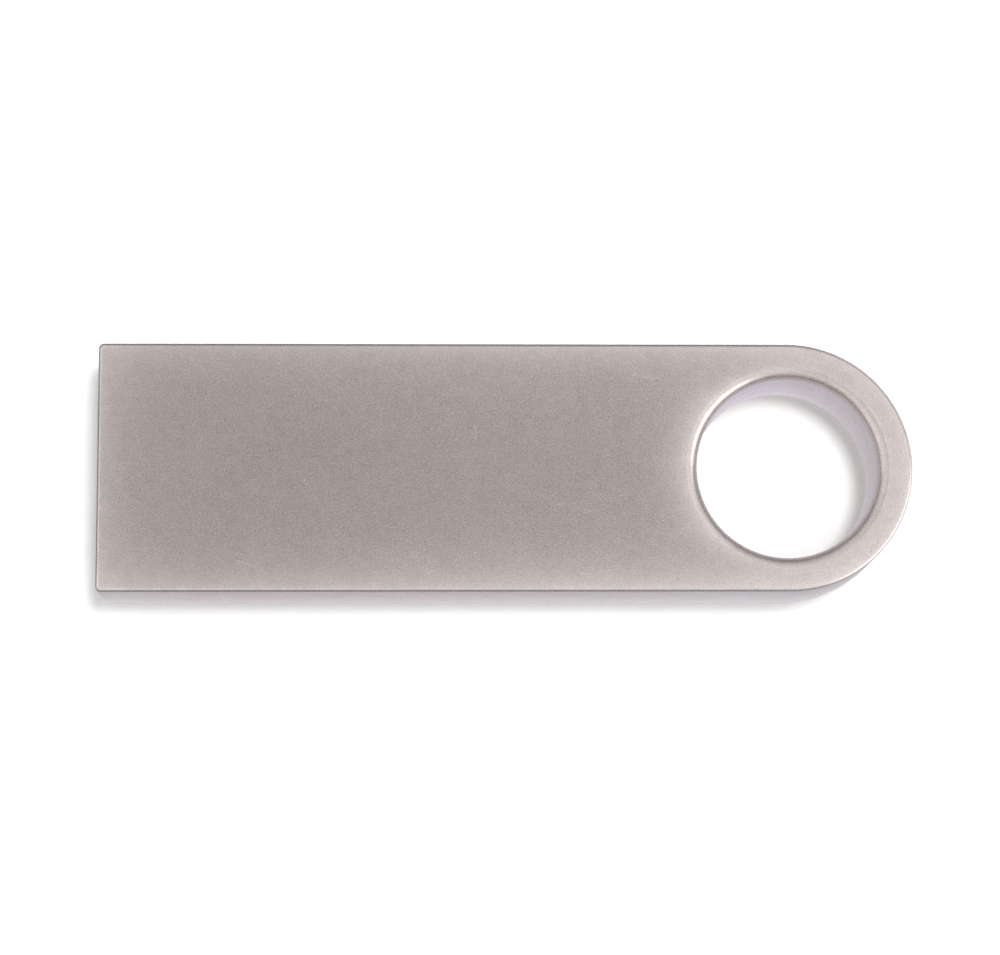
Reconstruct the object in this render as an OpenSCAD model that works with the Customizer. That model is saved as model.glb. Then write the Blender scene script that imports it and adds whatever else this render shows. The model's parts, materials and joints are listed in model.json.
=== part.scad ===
// USB flash drive in a one-piece cast metal body with a key-ring eye.
// The mouth of the Type-A plug is at -X, the key-ring eye is at +X, and the
// plain face is up. The drive lies flat with z = 0 on its underside, and the
// origin is at the middle of that underside. All sizes are in millimetres.

/* [Body] */
// Overall length, from the mouth to the tip of the eye
body_l = 39; // [38.5:0.5:42]
// Width of the body and of the plug
body_w = 12; // [11.9:0.05:12.1]
// Thickness of the body and of the plug
body_t = 4.5; // [4.45:0.05:4.6]
// Radius along the long outer edges
edge_r = 0.2; // [0.1:0.05:0.25]
// Radius in plan of the two corners at the mouth
corner_r = 0.25; // [0.15:0.01:0.25]
// Radius along the upper and lower edges of the mouth's rim
mouth_r = 0.2; // [0.1:0.02:0.24]

/* [Key-ring eye] */
// Diameter of the hole
eye_d = 8.7; // [7:0.1:9]
// Radius of the rolled rim on the plain face
eye_rim_r = 0.55; // [0.3:0.05:0.6]
// Radius of the rim on the underside
eye_back_r = 0.15; // [0.1:0.05:0.3]

/* [Plug cavity] */
// Thickness of the side walls
side_wall = 0.3; // [0.3:0.01:0.33]
// Thickness of the wall under the plain face, and of the wall underneath
face_wall = 0.35; // [0.3:0.05:0.35]
// Depth of the cavity from the mouth
cavity_l = 26.7; // [26.7:0.1:27.2]
// Radius in the corners of the cavity
cavity_r = 0.25; // [0.15:0.05:0.3]
// Bevel inside the mouth
lead_in = 0.04; // [0.02:0.01:0.05]
// Length of each latch window along the plug
window_l = 2.25; // [2:0.05:2.5]
// Width of each latch window across the plug
window_w = 2.5; // [2:0.05:2.6]
// Distance between the middles of the two latch windows
window_pitch = 5.12; // [4.8:0.02:5.6]
// Distance from the mouth to the near edge of a window
window_x = 5.16; // [4.9:0.02:5.4]

/* [Plastic parts] */
// Distance that the tongue stands back from the mouth
tongue_back = 0.38; // [0.3:0.02:0.5]
// Thickness of the tray's floor
tray_floor = 0.4; // [0.35:0.05:0.45]
// Thickness of the glue film under the tray
glue_t = 0.05; // [0.04:0.01:0.06]
// Length of the socket's space above the contacts
socket_l = 10.2; // [9.6:0.1:10.6]

/* [Memory module] */
// Length of the module
module_l = 24.8; // [24.6:0.1:24.8]
// Width of the module
module_w = 11.3; // [11.1:0.05:11.3]
// Thickness of the moulded underside
mould_t = 1.1; // [1.05:0.01:1.15]
// Thickness of the laminate
core_t = 0.26; // [0.22:0.01:0.3]
// Thickness of the solder mask
mask_t = 0.04; // [0.03:0.01:0.05]
// Thickness of the copper
copper_t = 0.02; // [0.015:0.001:0.025]
// Width of each contact
contact_w = 1.35; // [1:0.05:1.5]
// Length of the two outer contacts
power_l = 7.4; // [7.1:0.1:7.7]
// Length of the two inner contacts
data_l = 6.4; // [6.1:0.1:6.7]

/* [Hidden] */
$fn = 48;
eps = 0.01;

// Stations along X
x_mouth = -body_l / 2;
x_eye = body_l / 2 - body_w / 2;
x_end = x_mouth + cavity_l;            // back wall of the cavity
x_tongue = x_mouth + tongue_back;      // front of the tray's lip
lip_t = 0.3;
gap = 0.02;                            // play between the tray and the module
x_mod = x_tongue + lip_t + gap;        // front edge of the module
x_mod_end = x_mod + module_l;
x_tray_wall = x_mod_end + 0.05;
x_tray_end = x_end - 0.3;
x_fill = x_mouth + socket_l;           // front of the filler block

// Heights
z_glue = face_wall;
z_tray = z_glue + glue_t;
z_mould = z_tray + tray_floor;         // underside of the module
z_core = z_mould + mould_t;            // underside of the laminate
z_copper = z_core + core_t;            // upper face of the laminate
z_top = z_copper + mask_t;             // upper face of the module
z_ceiling = body_t - face_wall;
z_under = z_core - copper_t;           // lower face of the copper below the laminate

cavity_w = body_w - 2 * side_wall;
tray_w = module_w;

// Parts of the memory module are placed from the middle of its front edge.
module in_module() { translate([x_mod, 0, 0]) children(); }

// ---------- shared shapes ----------

// Rectangle centred on the origin with true round corners.
module rounded_rect(w, h, r) {
    square([w - 2 * r, h], center = true);
    square([w, h - 2 * r], center = true);
    for (sx = [-1, 1], sy = [-1, 1])
        translate([sx * (w / 2 - r), sy * (h / 2 - r)]) circle(r);
}

// A section drawn in (y, z) and run along +X from x0 for a length.
module along_x(x0, length) {
    translate([x0, 0, 0]) rotate([90, 0, 90]) linear_extrude(height = length) children();
}

// A section drawn in (x, z) and run along Y, centred.
module along_y(width) {
    translate([0, width / 2, 0]) rotate([90, 0, 0]) linear_extrude(height = width) children();
}

// Box from x0 to x1 and z0 to z1, centred on a line of constant y.
module slab(x0, x1, w, z0, z1, y = 0) {
    translate([x0, y - w / 2, z0]) cube([x1 - x0, w, z1 - z0]);
}

// Plan outline of the module, with eased front corners and one index corner.
module module_plan() {
    c = 0.4;
    i = 0.8;
    w = module_w / 2;
    polygon([
        [0, -w + c], [c, -w], [module_l - i, -w], [module_l, -w + i],
        [module_l, w], [c, w], [0, w - c]
    ]);
}

// ---------- housing ----------

module housing_section() {
    translate([0, body_t / 2]) rounded_rect(body_w, body_t, edge_r);
}

// Half section of the round end, from inside the eye out to the edge.
module ring_section() {
    intersection() {
        housing_section();
        translate([2, 0]) square([body_w, body_t]);
    }
}

// Straight part of the body: three outlines meet, so every mouth edge is eased.
module body_straight() {
    intersection() {
        along_x(x_mouth, x_eye - x_mouth) housing_section();
        translate([0, 0, 0]) linear_extrude(height = body_t)
            translate([x_mouth + body_l / 2, 0]) rounded_rect(body_l, body_w, corner_r);
        along_y(body_w)
            translate([x_mouth + body_l / 2, body_t / 2]) rounded_rect(body_l, body_t, mouth_r);
    }
}

module body_round() {
    translate([x_eye, 0, 0]) rotate([0, 0, -90]) rotate_extrude(angle = 180) ring_section();
}

// Profile of the eye in (radius, z): a straight wall that rolls out at both faces.
module eye_profile() {
    r = eye_d / 2;
    translate([0, -1]) square([r, body_t + 2]);
    difference() {
        translate([r - 0.05, body_t - eye_rim_r]) square([eye_rim_r + 0.05, eye_rim_r + 1]);
        translate([r + eye_rim_r, body_t - eye_rim_r]) circle(eye_rim_r);
    }
    difference() {
        translate([r - 0.05, -1]) square([eye_back_r + 0.05, eye_back_r + 1]);
        translate([r + eye_back_r, eye_back_r]) circle(eye_back_r);
    }
}

module cavity() {
    h = z_ceiling - face_wall;
    along_x(x_mouth - 1, cavity_l + 1)
        translate([0, face_wall + h / 2]) rounded_rect(cavity_w, h, cavity_r);
    // bevel inside the mouth
    intersection() {
        translate([0, 0, -1]) linear_extrude(height = body_t + 2) polygon([
            [x_mouth - eps, -cavity_w / 2 - lead_in - eps], [x_mouth + lead_in, -cavity_w / 2],
            [x_mouth + lead_in, cavity_w / 2], [x_mouth - eps, cavity_w / 2 + lead_in + eps]
        ]);
        along_y(body_w) polygon([
            [x_mouth - eps, face_wall - lead_in - eps], [x_mouth + lead_in, face_wall],
            [x_mouth + lead_in, z_ceiling], [x_mouth - eps, z_ceiling + lead_in + eps]
        ]);
    }
}

module latch_windows() {
    for (s = [-1, 1])
        translate([x_mouth + window_x + window_l / 2, s * window_pitch / 2, -1])
            linear_extrude(height = face_wall + 1.5) rounded_rect(window_l, window_w, 0.2);
}

module housing() {
    color([0.70, 0.66, 0.64])
    difference() {
        union() {
            body_straight();
            body_round();
        }
        translate([x_eye, 0, 0]) rotate_extrude() eye_profile();
        cavity();
        latch_windows();
    }
}

// ---------- plastic parts and glue ----------

// Section of the tray's walls in (y, z), with its lower corners cut away.
module tray_section(h) {
    c = 0.3;
    w = tray_w / 2;
    polygon([[-w, c], [-w + c, 0], [w - c, 0], [w, c], [w, h], [-w, h]]);
}

module carrier_tray() {
    lip_h = z_top - z_tray - 0.1;
    wall_h = z_ceiling - z_tray - 0.05;
    color([0.05, 0.05, 0.055]) {
        difference() {
            union() {
                // floor under the module
                along_x(x_tongue, x_tray_end - x_tongue)
                    translate([0, z_tray]) tray_section(tray_floor);
                // lip that covers the module's front edge
                along_x(x_tongue, lip_t) translate([0, z_tray]) tray_section(lip_h);
                // wall behind the module
                along_x(x_tray_wall, x_tray_end - x_tray_wall)
                    translate([0, z_tray]) tray_section(wall_h);
            }
            // slope on the front of the lip, top and bottom
            along_y(body_w) polygon([
                [x_tongue - 1, z_tray + lip_h - 0.25], [x_tongue, z_tray + lip_h - 0.25],
                [x_tongue + 0.2, z_tray + lip_h], [x_tongue + 0.2, z_tray + lip_h + 1], [x_tongue - 1, z_tray + lip_h + 1]
            ]);
            along_y(body_w) polygon([
                [x_tongue - 1, z_tray + 0.12], [x_tongue, z_tray + 0.12],
                [x_tongue + 0.12, z_tray], [x_tongue + 0.12, z_tray - 1], [x_tongue - 1, z_tray - 1]
            ]);
            // upper corners of the back wall clear the cavity's corners
            for (s = [-1, 1])
                translate([x_tray_wall - 1, s * tray_w / 2, z_tray + wall_h]) rotate([45, 0, 0])
                    translate([0, -0.22, -0.22]) cube([4, 0.44, 0.44]);
            // two pockets that keep the back wall thin
            for (s = [-1, 1])
                slab(x_tray_end - 0.35, x_tray_end + 1, 3.4, z_mould + 0.3, z_tray + wall_h - 0.5, s * 2.9);
        }
    }
}

// Hollow block that holds the module down and closes the back of the socket's space.
module filler_block() {
    h = z_ceiling - z_top - 0.03;
    wall = 0.6;
    roof = 0.5;
    color([0.05, 0.05, 0.055])
    difference() {
        along_x(x_fill, x_mod_end - x_fill) translate([0, z_top]) polygon([
            [-tray_w / 2, 0], [tray_w / 2, 0], [tray_w / 2, h - 0.3], [tray_w / 2 - 0.3, h],
            [-tray_w / 2 + 0.3, h], [-tray_w / 2, h - 0.3]
        ]);
        // pockets between ribs, open towards the module
        for (i = [0 : 2]) {
            n = 3;
            span = (x_mod_end - x_fill - wall * (n + 1)) / n;
            x0 = x_fill + wall + i * (span + wall);
            slab(x0, x0 + span, tray_w - 2 * wall, z_top - 1, z_top + h - roof);
        }
        // bevel along the front edge that faces the mouth
        along_y(body_w) polygon([
            [x_fill - 1, z_top + h - 0.2], [x_fill, z_top + h - 0.2],
            [x_fill + 0.2, z_top + h], [x_fill + 0.2, z_top + h + 1], [x_fill - 1, z_top + h + 1]
        ]);
    }
}

module tray_adhesive() {
    color([0.85, 0.80, 0.62])
    translate([0, 0, z_glue]) linear_extrude(height = glue_t)
        translate([-2.2, 0]) rounded_rect(15, 9, 0.8);
}

module rear_glue() {
    color([0.80, 0.78, 0.70])
    along_x(x_tray_end, x_end - x_tray_end)
        translate([0, z_mould + 1.2]) rounded_rect(1.6, 2.2, 0.5);
}

// ---------- memory module: laminate, copper and contacts ----------

contact_x = 0.45;                         // front of the outer contacts
contact_end = contact_x + power_l;        // all four end together

module pcb_core() {
    color([0.16, 0.22, 0.14])
    in_module() translate([0, 0, z_core]) linear_extrude(height = core_t) module_plan();
}

// One gold contact, from front to back.
module contact(y, length) {
    color([0.90, 0.72, 0.36])
    in_module() translate([contact_end - length / 2, y, z_copper])
        linear_extrude(height = mask_t + 0.015) rounded_rect(length, contact_w, 0.12);
}

module contact_openings() {
    m = 0.05;
    for (c = [[-3.5, power_l], [-1, data_l], [1, data_l], [3.5, power_l]])
        translate([contact_end - c[1] / 2, c[0], z_copper - 1])
            linear_extrude(height = 3) rounded_rect(c[1] + 2 * m, contact_w + 2 * m, 0.16);
}

// Factory test pads behind the contacts.
test_grid = [for (i = [0 : 4], s = [-1, 1]) [12.4 + i * 2.1, s * 2.2]];

module test_pads() {
    color([0.90, 0.72, 0.36])
    in_module() for (p = test_grid)
        translate([p[0], p[1], z_copper]) cylinder(d = 0.9, h = copper_t + 0.01);
}

// A run of copper in plan: a strip along each leg and a disc at each bend.
module run(points, w) {
    for (i = [0 : len(points) - 2]) {
        a = points[i];
        b = points[i + 1];
        d = b - a;
        translate(a) rotate(atan2(d[1], d[0])) translate([0, -w / 2]) square([norm(d), w]);
        translate(b) circle(d = w);
    }
}

// Power and ground run wide along the edges, and the data pair runs in step.
module trace_plan() {
    e = contact_end + 0.05;
    for (s = [-1, 1]) {
        run([[e, s * 3.5], [e + 1.0, s * 3.5], [e + 2.2, s * 4.4], [23.4, s * 4.4]], 0.6);
        run([[e, s], [e + 0.6, s], [e + 1.2, s * 0.35], [22, s * 0.35]], 0.18);
        // vias at the ends
        translate([22, s * 0.35]) circle(d = 0.4);
        translate([23.4, s * 4.4]) circle(d = 0.8);
    }
}

module copper_traces() {
    color([0.80, 0.45, 0.25])
    in_module() translate([0, 0, z_copper]) linear_extrude(height = copper_t) trace_plan();
}

module solder_mask() {
    color([0.03, 0.05, 0.04])
    in_module() difference() {
        translate([0, 0, z_copper]) linear_extrude(height = mask_t) module_plan();
        contact_openings();
        for (p = test_grid)
            translate([p[0], p[1], z_copper - 1]) cylinder(d = 1.0, h = 3);
        translate([0, 0, z_copper - 1]) linear_extrude(height = 1 + copper_t) trace_plan();
    }
}

// ---------- memory module: inside the moulding ----------

die_t = 0.15;
film_t = 0.03;
ctrl_x = 5.6;                             // middle of the controller
ctrl_s = 2.6;                             // side of the controller
flash_l = 12.8;
flash_w = 9;
flash_x = 11.3;                           // bonding edge of the inner die
step_x = 0.55;                            // how far the outer die stands back
z_die = z_core - film_t;                  // upper face of the controller and the inner die
z_outer = z_die - die_t - film_t;         // upper face of the outer die
crystal_at = [2.2, 3.3];
wire_t = 0.03;

// Small parts: place along and across the module, and turn.
cap_at = [
    [1.9, -3.9, 0], [1.9, -2.8, 0], [1.9, -1.7, 0], [8.2, 4.2, 90], [7.1, 4.2, 90],
    [6, 4.2, 90], [8.2, -4.2, 90], [7.1, -4.2, 90]
];
res_at = [[6, -4.2, 90], [4.9, -4.2, 90], [4.9, 4.2, 90], [1.9, -0.6, 0]];

// Hangs a small part below the laminate by its entry in a list.
module at(p) {
    translate([p[0], p[1], z_under]) rotate([0, 0, p[2]]) children();
}

module chip_body(l, w, h, end) {
    translate([-l / 2 + end, -w / 2, -h]) cube([l - 2 * end, w, h]);
}

module chip_ends(l, w, h, end) {
    for (s = [-1, 1])
        translate([s > 0 ? l / 2 - end : -l / 2, -w / 2, -h]) cube([end, w, h]);
}

module chip_pads() {
    for (s = [-1, 1])
        translate([s * 0.45 - 0.25, -0.3, 0]) cube([0.5, 0.6, copper_t]);
}

module capacitor_bodies() {
    color([0.62, 0.50, 0.38]) in_module() for (p = cap_at) at(p) chip_body(1, 0.5, 0.5, 0.22);
}
module capacitor_terminals() {
    color([0.80, 0.80, 0.80]) in_module() for (p = cap_at) at(p) chip_ends(1, 0.5, 0.5, 0.22);
}
module resistor_bodies() {
    color([0.08, 0.08, 0.09]) in_module() for (p = res_at) at(p) chip_body(1, 0.5, 0.35, 0.2);
}
module resistor_terminals() {
    color([0.80, 0.80, 0.80]) in_module() for (p = res_at) at(p) chip_ends(1, 0.5, 0.35, 0.2);
}

module crystal_base() {
    color([0.78, 0.76, 0.70])
    in_module() translate([crystal_at[0] - 1.25, crystal_at[1] - 1, z_under - 0.4]) cube([2.5, 2, 0.4]);
}
module crystal_lid() {
    color([0.82, 0.80, 0.76])
    in_module() translate([crystal_at[0], crystal_at[1], z_under - 0.5])
        linear_extrude(height = 0.1) rounded_rect(2.2, 1.7, 0.2);
}

module smd_pads() {
    color([0.90, 0.72, 0.36]) in_module() {
        for (p = concat(cap_at, res_at)) at(p) chip_pads();
        for (sx = [-1, 1], sy = [-1, 1])
            translate([crystal_at[0] + sx * 0.85 - 0.4, crystal_at[1] + sy * 0.65 - 0.35, z_under])
                cube([0.8, 0.7, copper_t]);
    }
}

// Bond fingers: a row on each side of the controller, and a row by the memory dies.
ctrl_ys = [for (i = [0 : 6]) -0.96 + i * 0.32];
flash_ys = [for (i = [0 : 11]) -3.85 + i * 0.7];
ctrl_reach = 0.75;                        // from the controller's edge to a finger
flash_reach = 1;

module bond_fingers() {
    color([0.90, 0.72, 0.36]) in_module() {
        for (s = [-1, 1], y = ctrl_ys)
            translate([ctrl_x + s * (ctrl_s / 2 + ctrl_reach) - 0.2, y - 0.06, z_under])
                cube([0.4, 0.12, copper_t]);
        for (y = flash_ys)
            translate([flash_x - flash_reach - 0.25, y - 0.1, z_under]) cube([0.5, 0.3, copper_t]);
    }
}

// Flat square or oblong layer below a height.
module layer(x0, l, w, z, t) {
    translate([x0, -w / 2, z - t]) cube([l, w, t]);
}

module controller_die() {
    color([0.35, 0.36, 0.42]) in_module() layer(ctrl_x - ctrl_s / 2, ctrl_s, ctrl_s, z_die, die_t);
}
module flash_die_inner() {
    color([0.42, 0.43, 0.50]) in_module() layer(flash_x, flash_l, flash_w, z_die, die_t);
}
module flash_die_outer() {
    color([0.46, 0.47, 0.54])
    in_module() layer(flash_x + step_x, flash_l - step_x, flash_w, z_outer, die_t);
}
module die_attach_films() {
    color([0.70, 0.66, 0.50]) in_module() {
        layer(ctrl_x - ctrl_s / 2, ctrl_s, ctrl_s, z_core, film_t);
        layer(flash_x, flash_l, flash_w, z_core, film_t);
        layer(flash_x + step_x, flash_l - step_x, flash_w, z_die - die_t, film_t);
    }
}

// One bond wire in the (x, z) plane: down from a die, across, and up to a finger at smaller x.
module wire(xa, za, xb, drop, y) {
    t = wire_t;
    zp = za - drop;
    translate([0, y + t / 2, 0]) rotate([90, 0, 0]) linear_extrude(height = t) polygon([
        [xa, za], [xa, zp], [xa - 0.12, zp - 0.06], [xb + 0.3, zp - 0.06], [xb, z_under],
        [xb - t, z_under], [xb + 0.3 - t, zp - 0.06 - t], [xa - 0.12 + t, zp - 0.06 - t], [xa + t, zp - t / 2], [xa + t, za]
    ]);
}

module controller_bond_wires() {
    pad = ctrl_s / 2 - 0.12;
    color([0.95, 0.78, 0.35]) in_module()
    for (m = [0, 1], y = ctrl_ys)
        translate([ctrl_x, 0, 0]) mirror([m, 0, 0])
            wire(-pad, z_die - die_t, -ctrl_s / 2 - ctrl_reach, 0.06, y);
}
module flash_bond_wires() {
    color([0.95, 0.78, 0.35]) in_module()
    for (y = flash_ys) {
        wire(flash_x + 0.15, z_die - die_t, flash_x - flash_reach + 0.12, 0.05, y);
        wire(flash_x + step_x + 0.15, z_outer - die_t, flash_x - flash_reach - 0.1, 0.05, y + 0.12);
    }
}

// The moulding fits closely round everything that hangs below the laminate.
module mould_cap() {
    color([0.04, 0.04, 0.045])
    difference() {
        in_module() translate([0, 0, z_mould]) linear_extrude(height = mould_t) module_plan();
        capacitor_bodies();
        capacitor_terminals();
        resistor_bodies();
        resistor_terminals();
        crystal_base();
        crystal_lid();
        smd_pads();
        bond_fingers();
        controller_die();
        flash_die_inner();
        flash_die_outer();
        die_attach_films();
        controller_bond_wires();
        flash_bond_wires();
    }
}

housing();
carrier_tray();
filler_block();
tray_adhesive();
rear_glue();
pcb_core();
solder_mask();
copper_traces();
contact(-3.5, power_l);  // contact_vbus
contact(-1, data_l);  // contact_data_minus
contact(1, data_l);  // contact_data_plus
contact(3.5, power_l);  // contact_ground
test_pads();
smd_pads();
bond_fingers();
mould_cap();
controller_die();
flash_die_inner();
flash_die_outer();
die_attach_films();
controller_bond_wires();
flash_bond_wires();
crystal_base();
crystal_lid();
capacitor_bodies();
capacitor_terminals();
resistor_bodies();
resistor_terminals();
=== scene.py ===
import bpy
import json
import math
from mathutils import Matrix, Vector
from mathutils.geometry import delaunay_2d_cdt

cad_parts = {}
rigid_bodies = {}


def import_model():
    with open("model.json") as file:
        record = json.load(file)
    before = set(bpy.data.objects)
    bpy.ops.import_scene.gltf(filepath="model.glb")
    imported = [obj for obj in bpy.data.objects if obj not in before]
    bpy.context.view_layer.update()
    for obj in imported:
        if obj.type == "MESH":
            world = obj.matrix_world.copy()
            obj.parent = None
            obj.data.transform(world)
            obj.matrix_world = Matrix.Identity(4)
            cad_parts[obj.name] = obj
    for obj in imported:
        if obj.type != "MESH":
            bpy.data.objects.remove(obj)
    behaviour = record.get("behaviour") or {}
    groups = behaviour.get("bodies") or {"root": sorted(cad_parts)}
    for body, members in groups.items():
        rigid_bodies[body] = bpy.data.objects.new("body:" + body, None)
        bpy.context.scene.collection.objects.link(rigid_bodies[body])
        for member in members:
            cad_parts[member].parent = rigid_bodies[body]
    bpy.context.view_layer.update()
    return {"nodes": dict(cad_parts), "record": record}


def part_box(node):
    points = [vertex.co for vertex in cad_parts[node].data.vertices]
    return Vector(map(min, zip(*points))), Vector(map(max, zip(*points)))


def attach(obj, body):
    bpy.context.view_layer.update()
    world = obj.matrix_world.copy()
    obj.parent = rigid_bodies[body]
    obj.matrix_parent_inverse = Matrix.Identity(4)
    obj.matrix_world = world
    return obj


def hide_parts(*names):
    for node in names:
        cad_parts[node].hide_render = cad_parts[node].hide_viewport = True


for o in list(bpy.data.objects):
    bpy.data.objects.remove(o, do_unlink=True)

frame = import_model()
MM = 0.001
PI = math.pi

# ---------------------------------------------------------------- camera

# World-to-camera turn as an axis times its angle, and the camera's place in metres.
turn = Vector((-0.167225, 0.031658, 0.002193))
view = Matrix.Rotation(turn.length, 3, turn.normalized())
cam_data = bpy.data.cameras.new("camera")
cam_data.sensor_fit = "HORIZONTAL"
cam_data.sensor_width = 36.0
cam_data.lens = 117.246
cam_data.clip_start = 0.01
cam_data.clip_end = 5.0
cam = bpy.data.objects.new("camera", cam_data)
cam.matrix_world = Matrix.Translation(Vector((-5.2394, -26.389, 157.6838)) * MM) @ view.transposed().to_4x4()
bpy.context.scene.collection.objects.link(cam)
bpy.context.scene.camera = cam


# ---------------------------------------------------------------- mesh kit

class Skin:
    """Closed surface made of patches that share their edge points. Sizes are in mm, and every face corner has its own normal."""

    def __init__(self):
        self.index = {}
        self.points = []
        self.faces = []
        self.normals = []

    def point(self, p):
        key = (round(p[0] * 1e5), round(p[1] * 1e5), round(p[2] * 1e5))
        if key not in self.index:
            self.index[key] = len(self.points)
            self.points.append((p[0], p[1], p[2]))
        return self.index[key]

    def face(self, pts, nrm):
        ids, nor = [], []
        for p, n in zip(pts, nrm):
            i = self.point(p)
            if i not in ids:
                ids.append(i)
                nor.append(Vector(n))
        if len(ids) < 3:
            return
        way = Vector()
        for k in range(len(ids)):
            a, b = Vector(self.points[ids[k]]), Vector(self.points[ids[k - 1]])
            way += b.cross(a)
        mean = Vector()
        for n in nor:
            mean += n
        if way.dot(mean) < 0:
            ids.reverse()
            nor.reverse()
        self.faces.append(ids)
        self.normals.extend(n.normalized() for n in nor)

    def grid(self, rows, nrm, closed=False):
        """rows[i][j] are points and nrm[i][j] their normals. closed joins each row's end to its start."""
        for i in range(len(rows) - 1):
            m = len(rows[i])
            for j in range(m if closed else m - 1):
                k = (j + 1) % m
                self.face(
                    (rows[i][j], rows[i][k], rows[i + 1][k], rows[i + 1][j]),
                    (nrm[i][j], nrm[i][k], nrm[i + 1][k], nrm[i + 1][j]),
                )

    def sheet(self, outer, holes, normal, axes, step=1.0):
        """Flat patch inside the loop outer and outside the loops in holes. axes are the two coordinates that vary."""
        u, v = axes
        loops = [outer] + list(holes)
        pts, edges = [], []
        for loop in loops:
            n0 = len(pts)
            pts.extend(loop)
            edges += [(n0 + k, n0 + (k + 1) % len(loop)) for k in range(len(loop))]
        flat = [[(p[u], p[v]) for p in loop] for loop in loops]
        fixed = [w for w in range(3) if w not in axes][0]
        level = outer[0][fixed]
        lo_u, hi_u = min(p[0] for p in flat[0]), max(p[0] for p in flat[0])
        lo_v, hi_v = min(p[1] for p in flat[0]), max(p[1] for p in flat[0])
        near = step * 0.45
        a = lo_u + step / 2
        row = 0
        while a < hi_u:
            b = lo_v + step * (0.5 if row % 2 else 0.9)
            while b < hi_v:
                if within((a, b), flat) and min(
                    (a - q[0]) ** 2 + (b - q[1]) ** 2 for loop in flat for q in loop
                ) > near * near:
                    p = [0.0, 0.0, 0.0]
                    p[u], p[v], p[fixed] = a, b, level
                    pts.append(tuple(p))
                b += step
            a += step * 0.87
            row += 1
        made = delaunay_2d_cdt([Vector((p[u], p[v])) for p in pts], edges, [], 0, 1e-6)
        source = [o[0] if o else None for o in made[3]]
        for tri in made[2]:
            if any(source[i] is None for i in tri):
                continue
            ps = [pts[source[i]] for i in tri]
            c = (sum(p[u] for p in ps) / 3, sum(p[v] for p in ps) / 3)
            if within(c, flat):
                self.face(ps, [normal] * 3)

    def build(self, name):
        mesh = bpy.data.meshes.new(name)
        mesh.from_pydata([(x * MM, y * MM, z * MM) for x, y, z in self.points], [], self.faces)
        mesh.polygons.foreach_set("use_smooth", [True] * len(mesh.polygons))
        mesh.normals_split_custom_set(self.normals)
        mesh.update()
        obj = bpy.data.objects.new(name, mesh)
        bpy.context.scene.collection.objects.link(obj)
        return obj


def within(p, loops):
    """Whether p is inside an odd number of the loops."""
    x, y = p
    odd = False
    for loop in loops:
        for k in range(len(loop)):
            (x0, y0), (x1, y1) = loop[k - 1], loop[k]
            if (y0 > y) != (y1 > y) and x < (x1 - x0) * (y - y0) / (y1 - y0) + x0:
                odd = not odd
    return odd


def steps(a, b, n):
    return [a + (b - a) * k / n for k in range(n + 1)]


def rounded(cu, cv, w, h, r, n_corner, n_u, n_v):
    """Counter-clockwise rounded rectangle as (u, v, nu, nv), starting at the left end of its lower side."""
    out = []
    hu, hv = w / 2 - r, h / 2 - r
    for u in steps(-hu, hu, n_u)[:-1]:
        out.append((cu + u, cv - h / 2, 0, -1))
    for k in range(n_corner):
        a = -PI / 2 + PI / 2 * k / n_corner
        out.append((cu + hu + r * math.cos(a), cv - hv + r * math.sin(a), math.cos(a), math.sin(a)))
    for v in steps(-hv, hv, n_v)[:-1]:
        out.append((cu + w / 2, cv + v, 1, 0))
    for k in range(n_corner):
        a = PI / 2 * k / n_corner
        out.append((cu + hu + r * math.cos(a), cv + hv + r * math.sin(a), math.cos(a), math.sin(a)))
    for u in steps(hu, -hu, n_u)[:-1]:
        out.append((cu + u, cv + h / 2, 0, 1))
    for k in range(n_corner):
        a = PI / 2 + PI / 2 * k / n_corner
        out.append((cu - hu + r * math.cos(a), cv + hv + r * math.sin(a), math.cos(a), math.sin(a)))
    for v in steps(hv, -hv, n_v)[:-1]:
        out.append((cu - w / 2, cv + v, -1, 0))
    for k in range(n_corner):
        a = PI + PI / 2 * k / n_corner
        out.append((cu - hu + r * math.cos(a), cv - hv + r * math.sin(a), math.cos(a), math.sin(a)))
    return out


# ---------------------------------------------------------------- housing

lo, hi = (Vector(c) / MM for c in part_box("housing"))
X_MOUTH, X_TIP, HALF, TOP = lo.x, hi.x, hi.y, hi.z      # -19.5, 19.5, 6, 4.5
X_EYE = X_TIP - HALF                                    # middle of the eye and of the round end
EDGE, CORNER = 0.2, 0.25                                # long edges, plan corners at the mouth
EYE_R, EYE_TOP, EYE_BACK = 4.35, 0.55, 0.15             # hole, its rolled rim, its rim underneath
WALL_Y, WALL_Z, LEAD = 0.3, 0.35, 0.04                  # side walls, face walls, bevel in the mouth
CAVITY_R, CAVITY_L = 0.25, 26.7
WIN_X, WIN_Y = X_MOUTH + 5.16 + 1.125, 2.56             # middles of the latch windows
WIN_L, WIN_W, WIN_R, WIN_BEVEL = 2.25, 2.5, 0.2, 0.03

N_MOUTH, N_CORNER, N_SIDE, N_END, N_EYE = 24, 8, 48, 144, 288


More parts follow.
